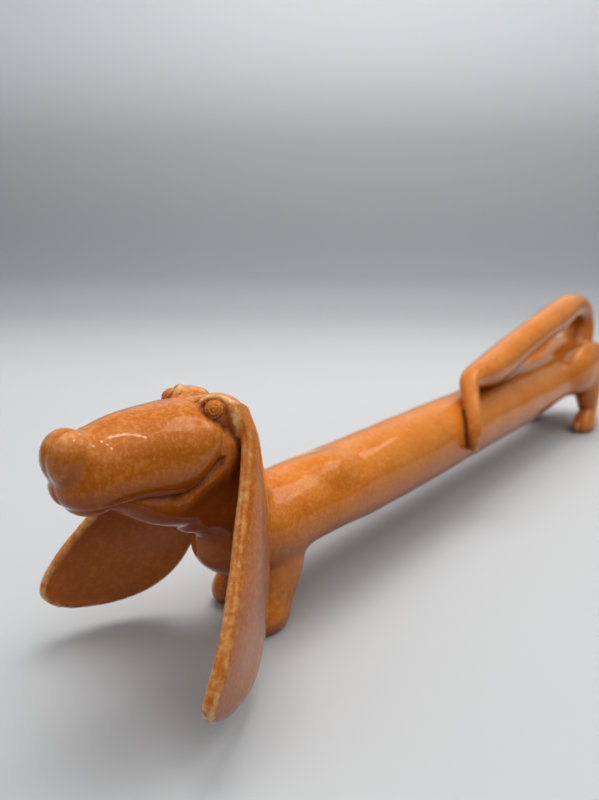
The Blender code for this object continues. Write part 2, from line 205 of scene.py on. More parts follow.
class Slab:
    """A slab of even thickness between two edge curves, bulged outwards and rounded all round."""

    ALONG, ACROSS = 34, 7

    def __init__(self, front, back, thickness, bulge, outward, groove):
        self.curve = Curve(np.hstack([front, back, np.array(thickness)[:, None], np.array(bulge)[:, None]]))
        self.outward = np.array(outward, np.float32)
        self.groove = groove
        t, s = np.meshgrid(np.linspace(0, self.curve.last, self.ALONG), np.linspace(0, 1, self.ACROSS))
        self.t, self.s = t.ravel().astype(np.float32), s.ravel().astype(np.float32)
        self.samples = self.sheet(self.t, self.s)[0]
        self.sample_squares = (self.samples**2).sum(1)
        reach = float(np.max(thickness)) + REACH
        self.low = self.samples.min(0) - reach
        self.high = self.samples.max(0) + reach

    def sheet(self, t, s):
        """Point of the middle sheet, its slopes along t and s, and the thickness there."""
        values, slopes = self.curve.at(t)
        s = s[:, None]
        arch = 4 * s * (1 - s)
        front, back = values[:, :3], values[:, 3:6]
        bulge, bulge_slope = values[:, 7:8], slopes[:, 7:8]
        point = front + s * (back - front) + arch * bulge * self.outward
        along = slopes[:, :3] + s * (slopes[:, 3:6] - slopes[:, :3]) + arch * bulge_slope * self.outward
        across = back - front + (4 - 8 * s) * bulge * self.outward
        return point, along, across, values[:, 6]

    def __call__(self, p):
        gaps = self.sample_squares - 2 * (p @ self.samples.T)
        nearest = np.argmin(gaps, axis=1)
        t, s = self.t[nearest], self.s[nearest]
        for _ in range(5):
            point, along, across, _ = self.sheet(t, s)
            gap = p - point
            aa = np.einsum("ij,ij->i", along, along)
            ab = np.einsum("ij,ij->i", along, across)
            bb = np.einsum("ij,ij->i", across, across)
            ga = np.einsum("ij,ij->i", gap, along)
            gb = np.einsum("ij,ij->i", gap, across)
            whole = np.maximum(aa * bb - ab * ab, 1e-4)
            step_t = (ga * bb - gb * ab) / whole
            step_s = (gb * aa - ga * ab) / whole
            # A coordinate held at its end leaves the other free to slide along the edge.
            held = ((s <= 0) & (step_s < 0)) | ((s >= 1) & (step_s > 0))
            step_t = np.where(held, ga / np.maximum(aa, 1e-4), step_t)
            held = ((t <= 0) & (step_t < 0)) | ((t >= self.curve.last) & (step_t > 0))
            step_s = np.where(held, gb / np.maximum(bb, 1e-4), step_s)
            t = np.clip(t + np.clip(step_t, -1, 1), 0, self.curve.last).astype(np.float32)
            s = np.clip(s + np.clip(step_s, -0.5, 0.5), 0, 1).astype(np.float32)
        point, _, across, half = self.sheet(t, s)
        gap = p - point
        distance = length(gap)
        # The front rim carries a tooled line, a little outside the middle of the edge.
        towards = across / np.maximum(length(across), 1e-3)[:, None]
        lean = np.arctan2(gap @ self.outward, np.einsum("ij,ij->i", gap, -towards))
        line = np.exp(-(((lean - self.groove[0]) / self.groove[1]) ** 2)) * (s <= 0)
        return distance - half + self.groove[2] * line


class Mirror:
    """The same form on the other side of the middle plane."""

    def __init__(self, form):
        self.form = form
        self.low = form.low * [-1, 1, 1]
        self.high = form.high * [-1, 1, 1]
        self.low[0], self.high[0] = self.high[0], self.low[0]

    def __call__(self, p):
        return self.form(p * np.array([-1, 1, 1], np.float32))


class Union:
    """Several forms blended into one."""

    def __init__(self, forms, width):
        self.forms = forms
        self.width = width
        self.low = np.min([form.low for form in forms], axis=0)
        self.high = np.max([form.high for form in forms], axis=0)

    def __call__(self, p):
        distance = self.forms[0](p)
        for form in self.forms[1:]:
            distance = blend(distance, form(p), self.width)
        return distance


# ---------------------------------------- the parts of the dog


# Where along the body the belly is drawn up, how far that spreads, and how much.
TUCKS = ((-162, 16, 2.0), (-126, 34, 6.5), (160, 34, 9.0))


class Torso:
    """The long round body: a cylinder with a stretched cap at the breast and a blunt one at the rump."""

    def __init__(self):
        self.radius = BODY_RADIUS
        self.breast = BODY_RADIUS * 1.8
        self.rump = BODY_RADIUS * 1.1
        self.low = BODY_LOW - REACH
        self.high = BODY_HIGH + REACH

    def __call__(self, p):
        front = BODY_LOW[1] + self.breast
        back = BODY_HIGH[1] - self.rump
        x, y, z = p[:, 0], p[:, 1], p[:, 2] - BODY[2]
        beyond = np.where(y < front, (y - front) / self.breast, np.maximum(y - back, 0) / self.rump)
        cap = np.where(y < front, self.breast, self.rump)
        along = beyond * self.radius
        inner = np.sqrt(x * x + z * z + along * along) / self.radius
        outer = np.sqrt(x * x + z * z + (along * self.radius / cap) ** 2) / self.radius**2
        distance = inner * (inner - 1) / np.maximum(outer, 1e-6)
        under = np.clip(-z / self.radius, 0, 1) ** 2
        for place, spread, lift in TUCKS:
            distance = distance + under * lift * np.exp(-(((y - place) / spread) ** 2))
        return distance


def make_trunk():
    """The body with the croup that carries the tail and a slight rise over the shoulders."""
    croup = Ball(BODY + [-2, 163, 5.5], (17, 40, 19))
    shoulders = Ball(BODY + [5, -134, 11], (9, 16, 8.6))
    return Union([Torso(), croup, shoulders], 5.0)


def make_neck():
    rows = [(0, 6.6, -26, 11.4), (0, 4.0, -16, 13.8), (0, 1.2, -7, 15.8), (0, 0, 4, 16), (0, -2, 14, 14)]
    return Roll(around(middle("neck"), rows))


def make_skull():
    rows = [(0, 8.0, -2.0, 13.6), (0, 16, -1.8, 14.0), (0, 23.0, -1.4, 13.4)]
    temple = Ball(HEAD + [9.6, 19.6, 5.6], (7.6, 7.6, 9.0))
    cheek = Ball(HEAD + [5.4, 12.6, -7.0], (10.6, 12.4, 12.6))
    return Union([Roll(around(HEAD, rows)), temple, Mirror(temple), cheek, Mirror(cheek)], 4.0)


LIP_ROWS = [
    (0, -46, -8.4),
    (0, -36, -7.6),
    (0, -29, -6.8),
    (0, -22, -6.8),
    (0, -14, -7.8),
    (0, -7, -9.2),
    (0, -2, -9.2),
    (0, 2.8, -7.0),
    (0, 6.2, -3.8),
    (0, 8.6, -1.4),
    (0, 10.6, -0.8),
    (0, 14, -5.0),
    (0, 22, -16.0),
]
LIP_LINE = Curve(around([0, HEAD[1], HEAD[2]], LIP_ROWS))
LIP_SAMPLES = LIP_LINE.at(np.linspace(0, LIP_LINE.last, 240).astype(np.float32))[0]


def above_lip(p):
    """Negative above the lip line, which goes back along the muzzle, curls up and fades on the cheek."""
    height = np.interp(p[:, 1], LIP_SAMPLES[:, 1], LIP_SAMPLES[:, 2])
    slope = np.gradient(LIP_SAMPLES[:, 2]) / np.gradient(LIP_SAMPLES[:, 1])
    steep = np.interp(p[:, 1], LIP_SAMPLES[:, 1], slope)
    return (height - p[:, 2]) / np.sqrt(1 + steep**2)


class Muzzle:
    """The long muzzle down to its lip, whose rounded back end stands proud of the cheek."""

    def __init__(self):
        length_rows = [
            (0, -23.0, 2.2, 12.9),
            (0, -13.0, 2.3, 14.8),
            (0, -2.0, 0.9, 16.5),
            (0, 9.6, -0.2, 16.8),
        ]
        lip_rows = [
            (3.2, -31.8, -2.6, 5.0),
            (7.0, -28.4, -2.8, 5.0),
            (9.2, -20.0, -2.4, 4.6),
            (10.4, -10.0, -3.0, 4.6),
            (11.2, 0.0, -3.2, 4.8),
            (11.4, 5.0, 1.0, 4.8),
            (11.0, 8.0, 5.0, 4.6),
        ]
        lip = Roll(around(HEAD, lip_rows))
        main = Roll(around(HEAD, length_rows), squash=(1, 1, 0.955))
        self.form = Union([main, lip, Mirror(lip)], 5.0)
        self.low, self.high = self.form.low, self.form.high

    def __call__(self, p):
        return trim(self.form(p), above_lip(p), 1.5)


def make_jaw():
    rows = [
        (0, 12.0, -24.0, 12.0),
        (0, 6.6, -19.6, 12.4),
        (0, -1.4, -15.6, 12.8),
        (0, -11.4, -8.8, 11.8),
        (0, -21.0, -6.2, 9.8),
        (0, -26.6, -6.6, 8.5),
    ]
    return Roll(around(HEAD, rows), squash=(1, 1, 0.62))


def make_nose():
    lobe = Ball(NOSE + [2.2, 2.6, -0.4], (6.3, 7.2, 8.5))
    return Union([lobe, Mirror(lobe)], 2.2)


NOSE_GROOVE_ROWS = [
    (0, 4.4, 8.4, 0.8),
    (0, -1.6, 7.2, 0.9),
    (0, -5.2, 2.4, 0.9),
    (0, -5.5, -3.0, 0.9),
    (0, -4.2, -7.4, 0.8),
    (0, -2.4, -12.5, 0.6),
]
NOSE_GROOVE = Roll(around([0, NOSE[1], NOSE[2]], NOSE_GROOVE_ROWS))

EYE_CENTRE = HEAD + [10.8, 13.2, 12.9]
EYE_RADIUS = 3.5
EYE_FACING = np.array([0.60, -0.62, 0.50])


class Eye:
    """An eyeball with rings tooled round the direction that it looks in."""

    RING_SPACING = 1.35
    RING_DEPTH = 0.14

    def __init__(self):
        self.centre = EYE_CENTRE.astype(np.float32)
        self.facing = (EYE_FACING / np.linalg.norm(EYE_FACING)).astype(np.float32)
        self.low = self.centre - EYE_RADIUS - REACH
        self.high = self.centre + EYE_RADIUS + REACH

    def __call__(self, p):
        q = p - self.centre
        distance = np.maximum(length(q), 1e-3)
        arc = EYE_RADIUS * np.arccos(np.clip((q @ self.facing) / distance, -1, 1))
        rings = self.RING_DEPTH * np.cos(2 * math.pi * arc / self.RING_SPACING)
        return distance - EYE_RADIUS + rings * (distance < 2 * EYE_RADIUS)


def make_eyelid():
    rows = [
        (6.2, 10.3, 13.8, 1.0),
        (6.8, 12.8, 15.6, 1.5),
        (8.9, 15.4, 15.9, 1.6),
        (11.8, 17.2, 15.2, 1.8),
        (14.5, 17.6, 12.4, 1.9),
        (16.2, 17.6, 9.0, 1.9),
        (17.0, 17.6, 5.4, 1.4),
    ]
    return Roll(around(HEAD, rows))


def make_brow():
    front = [
        (2.8, 9.6, 13.6, 1.2),
        (4.4, 14.6, 15.0, 1.9),
        (8.6, 19.4, 14.0, 2.3),
        (13.0, 21.0, 10.6, 2.1),
        (15.8, 20.4, 6.0, 1.4),
    ]
    back = [(1.6, 14.6, 13.4, 1.2), (4.6, 20.6, 13.8, 2.1), (8.6, 24.4, 11.8, 2.1), (12.4, 24.8, 8.4, 1.6)]
    dome = Ball(HEAD + [7.2, 17.6, 10.0], (7.8, 8.6, 6.8))
    return Union([dome, Roll(around(HEAD, front)), Roll(around(HEAD, back))], 1.6)


def make_forehead_fold():
    rows = [(0, 5, 14.0, 1.0), (0, 10, 13.6, 1.6), (0, 19, 13.2, 1.8), (0, 27, 11.0, 1.2)]
    return Roll(around(HEAD, rows))


def make_cheek_fold():
    rows = [
        (11.6, 0.5, -12.0, 1.0),
        (12.4, 6.0, -9.0, 1.8),
        (13.6, 12.0, -5.0, 2.2),
        (14.0, 16.0, 0.0, 1.6),
    ]
    return Roll(around(HEAD, rows))


CHEEK_HOLLOW = Roll(
    around(
        HEAD,
        [(15.8, 4.0, -7.6, 0.3), (17.3, 7.0, -5.0, 1.2), (17.6, 9.0, -3.2, 1.1), (17.2, 11.0, -1.0, 0.3)],
    )
)

EAR_FRONT = [
    (-16.6, 15.0, 41.8),
    (-11.4, 15.4, 33.0),
    (-5.8, 9.4, 21.0),
    (-0.6, 2.0, 10.6),
    (5.0, -5.6, -0.2),
    (10.6, -14.0, -11.2),
    (14.6, -22.6, -22.8),
    (15.2, -26.4, -29.4),
    (14.4, -25.6, -33.4),
    (12.8, -22.4, -36.8),
]
EAR_BACK = [
    (-17.0, 19.4, 39.4),
    (-15.4, 21.4, 30.2),
    (-13.8, 21.6, 20.0),
    (-12.5, 22.0, 9.0),
    (-11.9, 22.6, -3.0),
    (-10.6, 21.8, -15.0),
    (-5.2, 14.4, -30.2),
    (4.0, 0.6, -39.4),
    (9.4, -11.4, -40.0),
    (11.8, -18.2, -38.8),
]
EAR_HALF_THICKNESS = [2.1, 2.2, 2.3, 2.3, 2.3, 2.3, 2.3, 2.2, 2.0, 1.8]
EAR_BULGE = [0.4, 1.0, 1.8, 2.4, 2.6, 2.4, 1.8, 1.0, 0.6, 0.2]
EAR_OUTWARD = Vector((0.90, 0.42, 0.10)).normalized()
RIGHT_EAR_DROOP = [0, 0, 0.2, 0.4, 0.8, 1.2, 1.5, 1.2, 0.9, 0.8]  # the right ear hangs a little lower
RIGHT_EAR_SET_BACK = [0, 0.3, 0.8, 1.2, 1.2, 0.8, 0.2, 0, 0, 0]
EAR_LINE = (0.05, 0.34, 0.34)  # lean and width of the tooled rim line in radians, and its depth


def make_ear(droop=0, set_back=0):
    """The left ear, or the pattern of the right one, which is mirrored."""
    front, back = around(LEFT_EAR, EAR_FRONT), around(LEFT_EAR, EAR_BACK)
    front[:, 2] -= droop
    back[:, 2] -= droop
    front[:, 1] += set_back
    return Slab(front, back, EAR_HALF_THICKNESS, EAR_BULGE, EAR_OUTWARD, EAR_LINE)


class Paw(Ball):
    """A paw with two grooves between its toes."""

    GROOVES_AT = (-0.33, 0.33)
    STATIONS = ((62, 0.3), (35, 0.9), (5, 1.0), (-25, 0.8))  # degrees up from level, and radius

    def __init__(self, centre, radii):
        super().__init__(centre, radii)
        self.grooves = []
        for share in self.GROOVES_AT:
            width = math.sqrt(1 - share**2)
            rows = []
            for degrees, radius in self.STATIONS:
                level, up = math.cos(math.radians(degrees)), math.sin(math.radians(degrees))
                spot = centre + [radii[0] * share, -radii[1] * width * level, radii[2] * width * up]
                rows.append([*spot, radius])
            self.grooves.append(Roll(rows))

    def __call__(self, p):
        distance = super().__call__(p)
        for groove in self.grooves:
            distance = trim(distance, -groove(p), 0.8)
        return distance


LEFT_TOE_REACH = 11.0
RIGHT_TOE_REACH = 6.6


def make_foreleg(node, side, toe):
    """A foreleg whose paw stands the further forward the larger toe is, in millimetres."""
    foot = footprint(node)
    rows = [
        (-1.6 * side, 9.0, 34, 10.8),
        (-0.8 * side, 7.8, 24, 10.6),
        (0.0, 4.4, 15, 9.6),
        (0.4 * side, -0.8, 7, 8.2),
    ]
    shin = Roll(around(foot, rows), squash=(0.68, 1, 1))
    paw = Paw(foot + [0.2 * side, 8.4 - toe, 4.8], (7.2, 10.4, 6.6))
    return Union([shin, paw], 4.0)


def make_haunch(side):
    centre = middle("haunch_left") * [side, 1, 1]
    thigh = Ball(centre + [-0.8 * side, 1.0, 3.0], (9.8, 37.0, 19.4))
    knee = Ball(centre + [0.4 * side, -5.0, 1.0], (7.8, 25.0, 13.0))
    return Union([thigh, knee], 6.0)


def make_hind_leg(side):
    foot = footprint("hind_leg_left") * [side, 1, 1]
    rows = [
        (-2.4 * side, 6.0, 34, 12.4),
        (-1.0 * side, 4.4, 24, 10.6),
        (0.2 * side, 4.4, 14, 8.2),
        (0.8 * side, -1.6, 7, 8.8),
    ]
    shin = Roll(around(foot, rows), squash=(0.76, 1, 1))
    paw = Paw(foot + [0.8 * side, -5.4, 4.6], (7.4, 13.4, 6.8))
    return Union([shin, paw], 5.0)


def make_tail():
    rows = [
        (-6.3, 86, -20, 13.0),
        (-6.3, 99.0, -4, 11.8),
        (-6.3, 101.6, 11.0, 9.8),
        (-6.3, 90.0, 21.8, 9.2),
        (-6.3, 70.0, 23.8, 9.6),
        (-5.9, 46.8, 19.4, 10.6),
        (-5.1, 6.8, 13.5, 9.9),
        (-3.7, -33.2, 6.2, 10.2),
        (-1.7, -68.2, 1.6, 9.2),
        (0.7, -93.6, 1.4, 6.2),
        (5.7, -104.0, -4.6, 4.8),
        (12.7, -111.6, -14.2, 4.1),
        (15.5, -115.4, -22.4, 3.7),
        (15.3, -114.6, -29.0, 2.9),
    ]
    return Roll(around(TAIL, rows))


class Vent:
    """The round hole through the belly wall that lets the air out in the kiln."""

    RADIUS = 2.5
    DEPTH = 7.0

    def __call__(self, p):
        across = np.sqrt(p[:, 0] ** 2 + p[:, 1] ** 2) - self.RADIUS
        return np.maximum(across, np.abs(p[:, 2] - BODY_LOW[2]) - self.DEPTH)


def make_parts():
    """The form of each CAD node, by its name."""
    parts = {
        "body_shell": make_trunk(),
        "neck": make_neck(),
        "head_shell": make_skull(),
        "muzzle": Muzzle(),
        "lower_jaw": make_jaw(),
        "nose": make_nose(),
        "forehead_fold": make_forehead_fold(),
        "ear_left": make_ear(),
    }
    parts["ear_right"] = Mirror(make_ear(RIGHT_EAR_DROOP, RIGHT_EAR_SET_BACK))
    makers = {"eye": Eye, "eyelid": make_eyelid, "brow": make_brow, "cheek_fold": make_cheek_fold}
    for name, make in makers.items():
        parts[name + "_left"] = make()
        parts[name + "_right"] = Mirror(parts[name + "_left"])
    parts["foreleg_left"] = make_foreleg("foreleg_left", 1, LEFT_TOE_REACH)
    parts["foreleg_right"] = make_foreleg("foreleg_right", -1, RIGHT_TOE_REACH)
    for name, side in (("left", 1), ("right", -1)):
        parts["haunch_" + name] = make_haunch(side)
        parts["hind_leg_" + name] = make_hind_leg(side)
    parts["tail"] = make_tail()
    return parts


PARTS = make_parts()
NAMES = list(PARTS)
INDEX = {name: i for i, name in enumerate(NAMES)}
VENT = Vent()


def part_distances(p):
    """The distance of each part on its own, one row for each part."""
    rows = np.full((len(NAMES), len(p)), FAR, np.float32)
    for i, name in enumerate(NAMES):
        part = PARTS[name]
        near = ((p > part.low) & (p < part.high)).all(1)
        if near.any():
            rows[i, near] = part(p[near])
    return rows


RIPPLES = [
    ((0.21, 0.17, 0.11), 0.9, 0.055),
    ((-0.13, 0.24, 0.19), 2.6, 0.05),
    ((0.31, -0.09, 0.27), 4.1, 0.04),
    ((0.05, 0.11, -0.29), 1.2, 0.05),
    ((0.10, 0.055, 0.07), 3.3, 0.10),
]


def ripple(p):
    """The faint unevenness that hands leave on a form."""
    total = np.zeros(len(p), np.float32)
    for direction, phase, height in RIPPLES:
        total += height * np.sin(p @ np.array(direction, np.float32) + phase)
    return total


# How wide the fillet is where a part joins the form before it, in millimetres.
FILLETS = {
    "neck": 6.0,
    "lower_jaw": 5.0,
    "cheek_fold": 6.0,
    "nose": 1.5,
    "forehead_fold": 1.6,
    "brow": 0.9,
    "eyelid": 0.8,
    "eye": 0.25,
    "ear": 1.4,
    "haunch": 5.0,
    "hind_leg": 4.0,
    "foreleg": 4.0,
}
HEAD_FILLET = 5.0
MUZZLE_CREASE, MUZZLE_FILLET = 0.9, 5
TAIL_CREASE, TAIL_ROOT_FILLET = 1.8, 2.6
GROOVE_EDGE = 1.2
HOLE_EDGE = 0.8
SIDES = ("_left", "_right")


def ramp(value, start, span):
    """0 up to start, then rising to 1 over span."""
    return np.clip((value - start) / span, 0, 1)


def sculpture(rows, p):
    """All the parts blended into one surface."""

    def join(form, kinds, sides=("",)):
        for side in sides:
            for kind in kinds:
                form = blend(form, rows[INDEX[kind + side]], FILLETS[kind])
        return form

    head = join(rows[INDEX["head_shell"]], ["neck", "lower_jaw"])
    head = join(head, ["cheek_fold"], SIDES)
    # The muzzle meets the face in a crease that fades where its back end joins the cheek.
    fade = ramp(p[:, 1] - HEAD[1], 8.5, 4.5) * np.clip((HEAD[2] + 8 - p[:, 2]) / 5, 0, 1)
    head = blend(head, rows[INDEX["muzzle"]], MUZZLE_CREASE + MUZZLE_FILLET * fade)
    head = join(head, ["nose", "forehead_fold"])
    head = join(head, ["brow", "eyelid", "eye"], SIDES)
    near_head = p[:, 1] < HEAD[1] + 40
    if near_head.any():
        spots = p[near_head]
        carved = trim(head[near_head], -NOSE_GROOVE(spots), GROOVE_EDGE)
        folded = spots.copy()
        folded[:, 0] = np.abs(folded[:, 0])
        head[near_head] = trim(carved, -CHEEK_HOLLOW(folded), GROOVE_EDGE)
    head = join(head, ["ear"], SIDES)
    trunk = join(rows[INDEX["body_shell"]], ["haunch"], SIDES)
    for kind in ("hind_leg", "foreleg"):
        trunk = join(trunk, [kind], SIDES)
    root = ramp(p[:, 1] - BODY[1], 100, 50)
    trunk = blend(trunk, rows[INDEX["tail"]], TAIL_CREASE + TAIL_ROOT_FILLET * root)
    whole = blend(trunk, head, HEAD_FILLET)
    belly = (np.abs(p[:, 1]) < 12) & (p[:, 2] < BODY[2])
    if belly.any():
        whole[belly] = trim(whole[belly], -VENT(p[belly]), HOLE_EDGE)
    whole = whole + ripple(p)
    return trim(whole, -p[:, 2], HOLE_EDGE)


def field_and_rows(p):
    rows = part_distances(p)
    return sculpture(rows, p), rows


def in_chunks(work, p):
    """work on p, a chunk at a time, on all the processor's cores."""
    pieces = [p[i : i + CHUNK] for i in range(0, len(p), CHUNK)]
    with ThreadPoolExecutor(THREADS) as pool:
        return list(pool.map(work, pieces))


def field(p):
    return np.concatenate(in_chunks(lambda chunk: field_and_rows(chunk)[0], p))


SMALL_PARTS = ("eye", "brow", "cheek", "forehead", "nose")
SMALL_PART_REACH = 0.35


def nearest_part(p):
    """The index of the piece that each point belongs to. Small parts reach a little over big ones."""
    small = [name.startswith(SMALL_PARTS) for name in NAMES]
    reach = np.where(small, np.float32(SMALL_PART_REACH), np.float32(0))

    def work(chunk):
        rows = part_distances(chunk) - reach[:, None]
        found = rows.argmin(0)
        found[found == INDEX["muzzle"]] = INDEX["head_shell"]
        return found

    return np.concatenate(in_chunks(work, p))


def gradient(p, gap):
    """Slope of the field, from four points round each one."""
    total = np.zeros_like(p)
    for corner in ((1, -1, -1), (-1, -1, 1), (-1, 1, -1), (1, 1, 1)):
        corner = np.array(corner, np.float32)
        total += field(p + corner * gap)[:, None] * corner
    return total / (4 * gap)


# ---------------------------------------- meshing


def grid_lines(low, high, fine_to, fine_from):
    """Positions along the body's length: fine at the head and the haunches, longer steps between."""
    lines = [low]
    while lines[-1] < high:
        inside = fine_to < lines[-1] < fine_from
        lines.append(lines[-1] + (LONG_STEP if inside else STEP))
    return np.array(lines, np.float32)


def even_lines(low, high):
    return np.arange(low, high + STEP, STEP).astype(np.float32)


def whole_blocks(lines):
    """Lines with more added at the end, up to a whole number of blocks."""
    extra = (-(len(lines) - 1)) % BLOCK
    if extra:
        more = lines[-1] + np.arange(1, extra + 1) * (lines[-1] - lines[-2])
        lines = np.concatenate([lines, more]).astype(np.float32)
    return lines


CORNERS = [(i, j, k) for i in (0, 1) for j in (0, 1) for k in (0, 1)]


def sampled_grid(axes):
    """The field on the grid, worked out only in the blocks that the surface may cross."""
    centres = [(a[:-1:BLOCK] + a[BLOCK::BLOCK]) / 2 for a in axes]
    halves = [(a[BLOCK::BLOCK] - a[:-1:BLOCK]) / 2 for a in axes]
    middle_points = np.stack(np.meshgrid(*centres, indexing="ij"), -1).reshape(-1, 3)
    radius = np.sqrt(sum(h**2 for h in np.meshgrid(*halves, indexing="ij"))).ravel()
    distance = field(middle_points.astype(np.float32))
    shape = [len(c) for c in centres]
    cells = (np.abs(distance) < radius * 1.5 + 0.6).reshape(shape)
    values = np.where(distance < 0, -FAR, FAR).reshape(shape).astype(np.float32)
    for axis in range(3):
        cells = np.repeat(cells, BLOCK, axis)
        values = np.repeat(values, BLOCK, axis)
        last = np.take(values, [-1], axis)
        values = np.concatenate([values, last], axis)
    needed = np.zeros(values.shape, bool)
    for i, j, k in CORNERS:
        needed[i : i + cells.shape[0], j : j + cells.shape[1], k : k + cells.shape[2]] |= cells
    where = np.nonzero(needed)
    points = np.stack([axes[n][where[n]] for n in range(3)], 1).astype(np.float32)
    values[where] = field(points)
    return values


EDGES = [
    (a, b)
    for a in range(8)
    for b in range(a + 1, 8)
    if sum(abs(CORNERS[a][n] - CORNERS[b][n]) for n in range(3)) == 1
]


def surface_net(values, axes):
    """Points and four-cornered faces of the surface where the values pass zero."""
    shape = np.array(values.shape) - 1
    inside = values < 0
    count = np.zeros(shape, np.int8)
    for i, j, k in CORNERS:
        count += inside[i : i + shape[0], j : j + shape[1], k : k + shape[2]]
    cells = np.argwhere((count > 0) & (count < 8))
    corner_values = np.stack(
        [values[cells[:, 0] + i, cells[:, 1] + j, cells[:, 2] + k] for i, j, k in CORNERS]
    )
    total = np.zeros((len(cells), 3), np.float32)
    crossings = np.zeros(len(cells), np.float32)
    for a, b in EDGES:
        va, vb = corner_values[a], corner_values[b]
        crossing = (va < 0) != (vb < 0)
        share = np.where(crossing, va / np.where(crossing, va - vb, 1), 0)[:, None]
        start, end = np.array(CORNERS[a]), np.array(CORNERS[b])
        total += np.where(crossing[:, None], start + share * (end - start), 0)
        crossings += crossing
    local = total / crossings[:, None]
    points = np.empty((len(cells), 3), np.float32)
    for n in range(3):
        low = axes[n][cells[:, n]]
        points[:, n] = low + local[:, n] * (axes[n][cells[:, n] + 1] - low)
    number = np.full(shape, -1, np.int32)
    number[cells[:, 0], cells[:, 1], cells[:, 2]] = np.arange(len(cells))
    faces = []
    for axis in range(3):
        u, v = (axis + 1) % 3, (axis + 2) % 3
        first = [slice(None)] * 3
        second = [slice(None)] * 3
        first[axis], second[axis] = slice(0, -1), slice(1, None)
        changes = np.argwhere(inside[tuple(first)] != inside[tuple(second)])
        keep = (changes[:, u] > 0) & (changes[:, v] > 0)
        keep &= (changes[:, u] < shape[u]) & (changes[:, v] < shape[v])
        changes = changes[keep]
        ring = []
        for du, dv in ((-1, -1), (0, -1), (0, 0), (-1, 0)):
            cell = changes.copy()
            cell[:, u] += du
            cell[:, v] += dv
            ring.append(number[cell[:, 0], cell[:, 1], cell[:, 2]])
        quads = np.stack(ring, 1)
        outward = inside[changes[:, 0], changes[:, 1], changes[:, 2]]
        quads[~outward] = quads[~outward][:, ::-1]
        faces.append(quads)
    return points, np.concatenate(faces)


def settle(points):
    """Points moved onto the surface of the field, and the field's directions there."""
    for _ in range(2):
        slope = gradient(points, 0.25)
        steep = np.maximum((slope**2).sum(1), 0.1)
        move = -(field(points) / steep)[:, None] * slope
        size = np.maximum(length(move), 1e-6)[:, None]
        points = points + move * np.minimum(1, 0.6 * STEP / size)
    normals = gradient(points, 0.22)
    return points, normals / np.maximum(length(normals), 1e-6)[:, None]


def smoothed(values, pairs, rounds):
    """Values evened out along the mesh's edges."""
    count = np.bincount(pairs.ravel(), minlength=len(values))
    for _ in range(rounds):
        total = np.bincount(pairs[:, 0], values[pairs[:, 1]], len(values))
        total += np.bincount(pairs[:, 1], values[pairs[:, 0]], len(values))
        values = 0.4 * values + 0.6 * total / np.maximum(count, 1)
    return values


def face_sides(faces):
    """The sides of four-cornered faces, as pairs of points: all first sides, then all second ones."""
    return np.concatenate([faces[:, [i, (i + 1) % 4]] for i in range(4)])


FINE_ROUNDS, BROAD_ROUNDS = 2, 14


def bending(points, normals, faces):
    """How much the surface bends at each point: above zero on ridges and rims, below it in creases."""
    pairs = np.unique(np.sort(face_sides(faces), axis=1), axis=0)
    along = points[pairs[:, 1]] - points[pairs[:, 0]]
    turn = normals[pairs[:, 1]] - normals[pairs[:, 0]]
    bend = (turn * along).sum(1) / np.maximum((along**2).sum(1), 1e-6)
    total = np.bincount(pairs.ravel(), np.repeat(bend, 2), len(points))
    bend = total / np.maximum(np.bincount(pairs.ravel(), minlength=len(points)), 1)
    return smoothed(bend, pairs, FINE_ROUNDS), smoothed(bend, pairs, BROAD_ROUNDS)


def neighbour_faces(faces):
    """Pairs of faces that share an edge."""
    sides = np.sort(face_sides(faces), axis=1)
    owner = np.tile(np.arange(len(faces)), 4)
    order = np.lexsort((sides[:, 1], sides[:, 0]))
    sides, owner = sides[order], owner[order]
    same = (sides[1:] == sides[:-1]).all(1)
    return np.stack([owner[:-1][same], owner[1:][same]], 1)


def tidy_labels(labels, pairs, rounds=6):
    """Labels with ragged borders and stray spots given to the piece round them."""
    for _ in range(rounds):
        votes = np.zeros((len(labels), len(NAMES)), np.int8)
        np.add.at(votes, (pairs[:, 0], labels[pairs[:, 1]]), 1)
        np.add.at(votes, (pairs[:, 1], labels[pairs[:, 0]]), 1)
        best = votes.argmax(1)
        strong = votes[np.arange(len(labels)), best] >= 3
        labels = np.where(strong, best, labels)
    return labels


def patches(labels, pairs):
    """A number for each connected patch of faces that share a label."""
    same = labels[pairs[:, 0]] == labels[pairs[:, 1]]
    links = pairs[same]
    group = np.arange(len(labels))
    while True:
        low = np.minimum(group[links[:, 0]], group[links[:, 1]])
        before = group.copy()
        np.minimum.at(group, links[:, 0], low)
        np.minimum.at(group, links[:, 1], low)
        group = group[group]
        if (group == before).all():
            return group


ISLAND_ROUNDS = 12


def drop_islands(labels, pairs):
    """Patches of a label other than its largest join a neighbour, as far as the rounds reach inwards."""
    for _ in range(ISLAND_ROUNDS):
        group = patches(labels, pairs)
        roots, sizes = np.unique(group, return_counts=True)
        keep = set()
        for label in np.unique(labels):
            own = labels[roots] == label
            keep.add(int(roots[own][np.argmax(sizes[own])]))
        stray = ~np.isin(group, list(keep))
        if not stray.any():
            break
        for a, b in ((0, 1), (1, 0)):
            edge = stray[pairs[:, a]] & ~stray[pairs[:, b]]
            labels[pairs[edge, a]] = labels[pairs[edge, b]]
        inner = stray & (patches(labels, pairs) == group)
        for a, b in ((0, 1), (1, 0)):
            edge = inner[pairs[:, a]] & (group[pairs[:, a]] != group[pairs[:, b]])
            labels[pairs[edge, a]] = labels[pairs[edge, b]]
    return labels


RIM_DEPTH = 1.0


